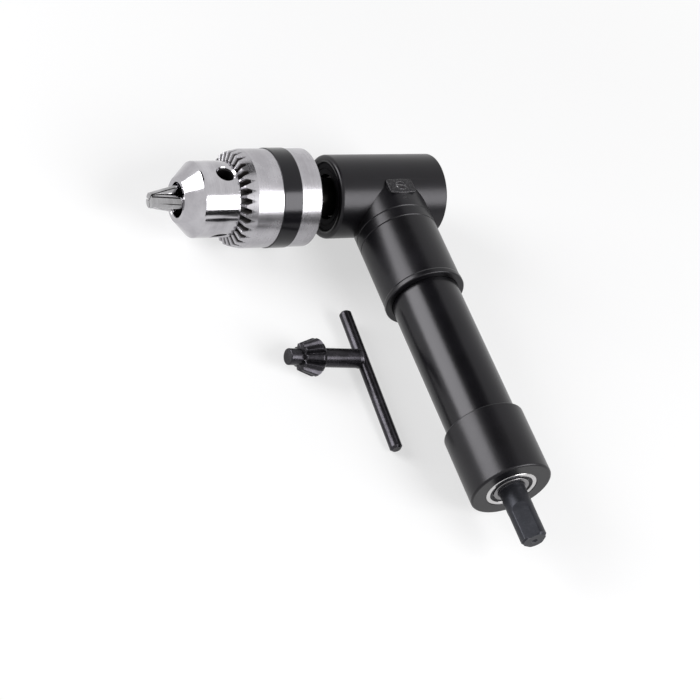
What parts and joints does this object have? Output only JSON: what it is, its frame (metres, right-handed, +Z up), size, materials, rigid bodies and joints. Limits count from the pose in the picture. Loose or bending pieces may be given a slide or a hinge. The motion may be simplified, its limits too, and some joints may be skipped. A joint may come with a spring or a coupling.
{
  "type": "right angle drill attachment",
  "caption": "Right angle drive for a drill: a tubular arm with a flatted shank turns a keyed three-jaw chuck through mitre gears; its toothed key lies beside it.",
  "frame": {"origin": "middle of the underside of the whole object's box, on the surface that the chuck's band rests on", "axes": "+X along the chuck axis towards the jaws' tips, +Y along the arm towards the drive shank, +Z up from the surface"},
  "size_m": [0.1168, 0.177, 0.0376],
  "materials": {
    "black_enamel": "gloss black enamel",
    "black_tube": "gloss black, long soft reflections",
    "band_black": "satin black",
    "bright_steel": "fine turned",
    "nose_steel": "fine ground",
    "jaw_steel": "hardened, grey",
    "oxide_steel": "black oxide",
    "machined_steel": "turned",
    "gear_steel": "case hardened, greased",
    "race_steel": "ground",
    "spring_steel": "phosphated",
    "bush_bronze": "sintered"
  },
  "bodies": {
    "head": {"head_housing": "black_enamel", "retainer_ring": "black_enamel", "grease_screw": "oxide_steel", "thrust_washer": "bush_bronze", "rear_bush": "machined_steel", "lock_ring": "black_enamel", "neck_sleeve": "black_enamel", "grip_tube": "black_tube", "end_collar": "black_enamel", "front_bearing_outer": "race_steel", "front_bearing_balls": "race_steel", "pinion_bearing_outer": "race_steel", "pinion_bearing_balls": "race_steel", "end_bearing_outer": "race_steel", "end_bearing_balls": "race_steel", "end_bearing_shield": "spring_steel"},
    "spindle": {"spindle": "oxide_steel", "spindle_gear": "gear_steel", "spindle_circlip": "spring_steel", "front_bearing_inner": "race_steel", "chuck_body": "nose_steel", "chuck_screw": "spring_steel"},
    "input": {"input_shaft": "oxide_steel", "input_pinion": "gear_steel", "pinion_circlip": "spring_steel", "end_circlip": "spring_steel", "pinion_bearing_inner": "race_steel", "end_bearing_inner": "race_steel"},
    "sleeve": {"chuck_sleeve": "bright_steel", "chuck_band": "band_black", "nut_half_a": "machined_steel", "nut_half_b": "machined_steel"},
    "jaw_1": {"jaw_1": "jaw_steel"},
    "jaw_2": {"jaw_2": "jaw_steel"},
    "jaw_3": {"jaw_3": "jaw_steel"},
    "key": {"key_body": "oxide_steel", "key_bar": "oxide_steel"}
  },
  "joints": [
    {"name": "chuck_spin", "type": "hinge", "parent": "head", "child": "spindle", "pos_m": [-0.03705, -0.0697, 0.0188], "axis": [1, 0, 0], "continuous": true},
    {"name": "input_spin", "type": "hinge", "parent": "head", "child": "input", "pos_m": [-0.03705, -0.0697, 0.0188], "axis": [0, 1, 0], "continuous": true},
    {"name": "sleeve_turn", "type": "hinge", "parent": "spindle", "child": "sleeve", "pos_m": [-0.00325, -0.0697, 0.0188], "axis": [1, 0, 0], "range_deg": [0, 3492]},
    {"name": "jaw_1_slide", "type": "slide", "parent": "spindle", "child": "jaw_1", "axis": [-0.9703, 0.2095, 0.1209], "range_m": [0, 0.0194]},
    {"name": "jaw_2_slide", "type": "slide", "parent": "spindle", "child": "jaw_2", "axis": [-0.9703, -0.2095, 0.1209], "range_m": [0, 0.0194]},
    {"name": "jaw_3_slide", "type": "slide", "parent": "spindle", "child": "jaw_3", "axis": [-0.9703, 0, -0.2419], "range_m": [0, 0.0194]},
    {"name": "key_lift", "type": "slide", "parent": "head", "child": "key", "axis": [0, 0, 1], "range_m": [0, 0.05]}
  ],
  "couplings": [
    {"joint": "input_spin", "follows": "chuck_spin", "ratio": 1},
    {"joint": "jaw_1_slide", "follows": "sleeve_turn", "m_per_rad": 0.00031831},
    {"joint": "jaw_2_slide", "follows": "sleeve_turn", "m_per_rad": 0.00031831},
    {"joint": "jaw_3_slide", "follows": "sleeve_turn", "m_per_rad": 0.00031831}
  ]
}
